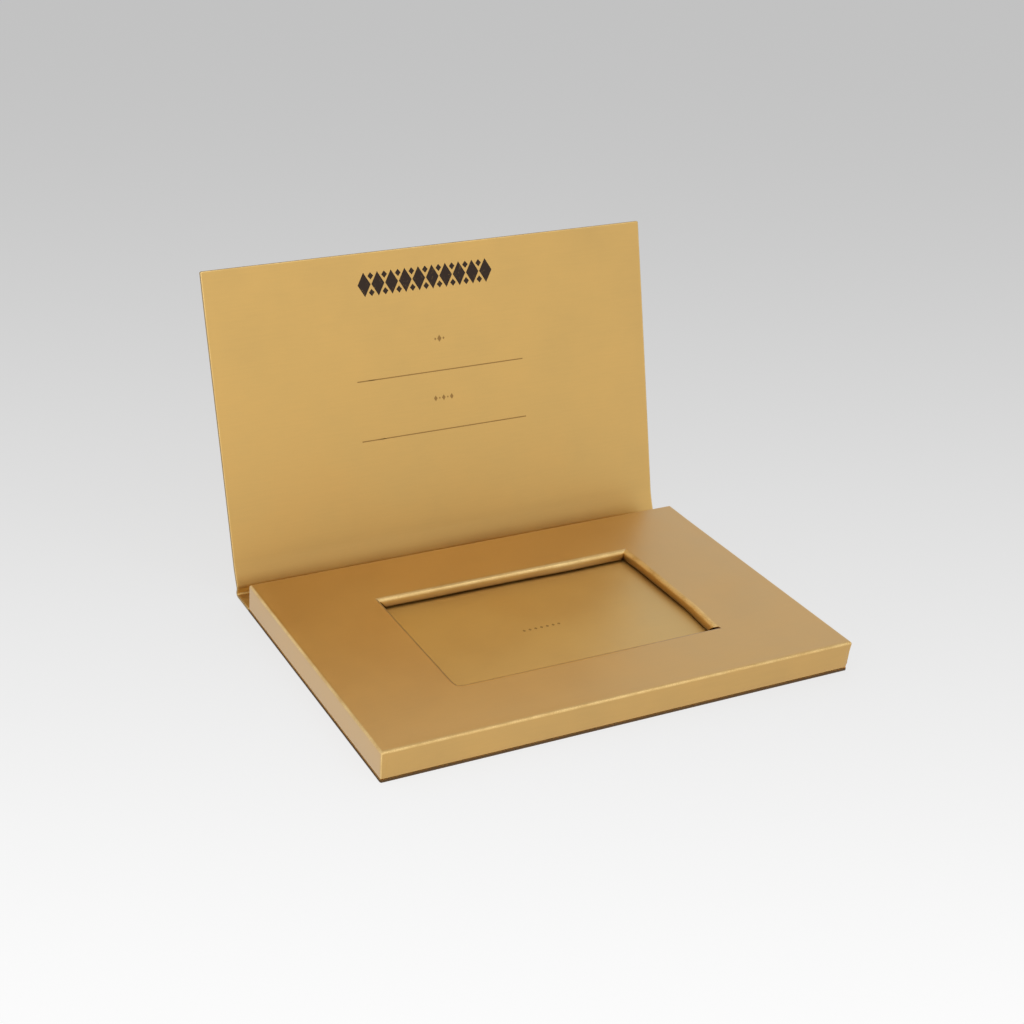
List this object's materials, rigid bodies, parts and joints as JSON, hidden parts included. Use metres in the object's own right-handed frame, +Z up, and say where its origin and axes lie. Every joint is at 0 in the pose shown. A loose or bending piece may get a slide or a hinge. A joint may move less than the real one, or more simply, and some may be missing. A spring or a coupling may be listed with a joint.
{
  "type": "gift card holder",
  "caption": "Folded card presentation holder for a gift card, with a creased lid over a shallow tray whose window takes the card.",
  "frame": {"origin": "centre of the base panel's underside, between its front edge and its crease", "axes": "+X along the width, left to right as the open holder faces the viewer; +Y from the front to the back, where the lid is; +Z up"},
  "size_m": [0.1546, 0.139, 0.0994],
  "materials": {
    "cover_gold": "satin",
    "tray_gold": "satin",
    "platform_gold": "satin",
    "tape": "matte",
    "card_core": "matte",
    "print_dark": "matte",
    "print_brown": "satin"
  },
  "bodies": {
    "base": {"base_panel": "cover_gold", "tray_top": "tray_gold", "tray_front_wall": "tray_gold", "tray_right_wall": "tray_gold", "tray_back_wall": "tray_gold", "tray_left_wall": "tray_gold", "window_flap_front": "tray_gold", "window_flap_right": "tray_gold", "window_flap_back": "tray_gold", "window_flap_left": "tray_gold", "glue_flange_front": "tray_gold", "glue_flange_right": "tray_gold", "glue_flange_back": "tray_gold", "glue_flange_left": "tray_gold", "corner_tab_front_left": "tray_gold", "corner_tab_front_right": "tray_gold", "corner_tab_back_right": "tray_gold", "corner_tab_back_left": "tray_gold", "platform_top": "platform_gold", "platform_leg_front": "platform_gold", "platform_leg_back": "platform_gold", "platform_foot_front": "platform_gold", "platform_foot_back": "platform_gold", "tray_tape_front": "tape", "tray_tape_right": "tape", "tray_tape_back": "tape", "tray_tape_left": "tape", "platform_tape_front": "tape", "platform_tape_back": "tape"},
    "spine": {"spine_panel": "cover_gold"},
    "lid": {"lid_panel": "cover_gold"}
  },
  "joints": [
    {"name": "spine_fold", "type": "hinge", "parent": "base", "child": "spine", "pos_m": [0, 0.05103, 0.0008], "axis": [1, 0, 0], "range_deg": [0, 90]},
    {"name": "lid_fold", "type": "hinge", "parent": "spine", "child": "lid", "pos_m": [0, 0.06082, 0.0008], "axis": [1, 0, 0], "range_deg": [-75, 15]}
  ]
}
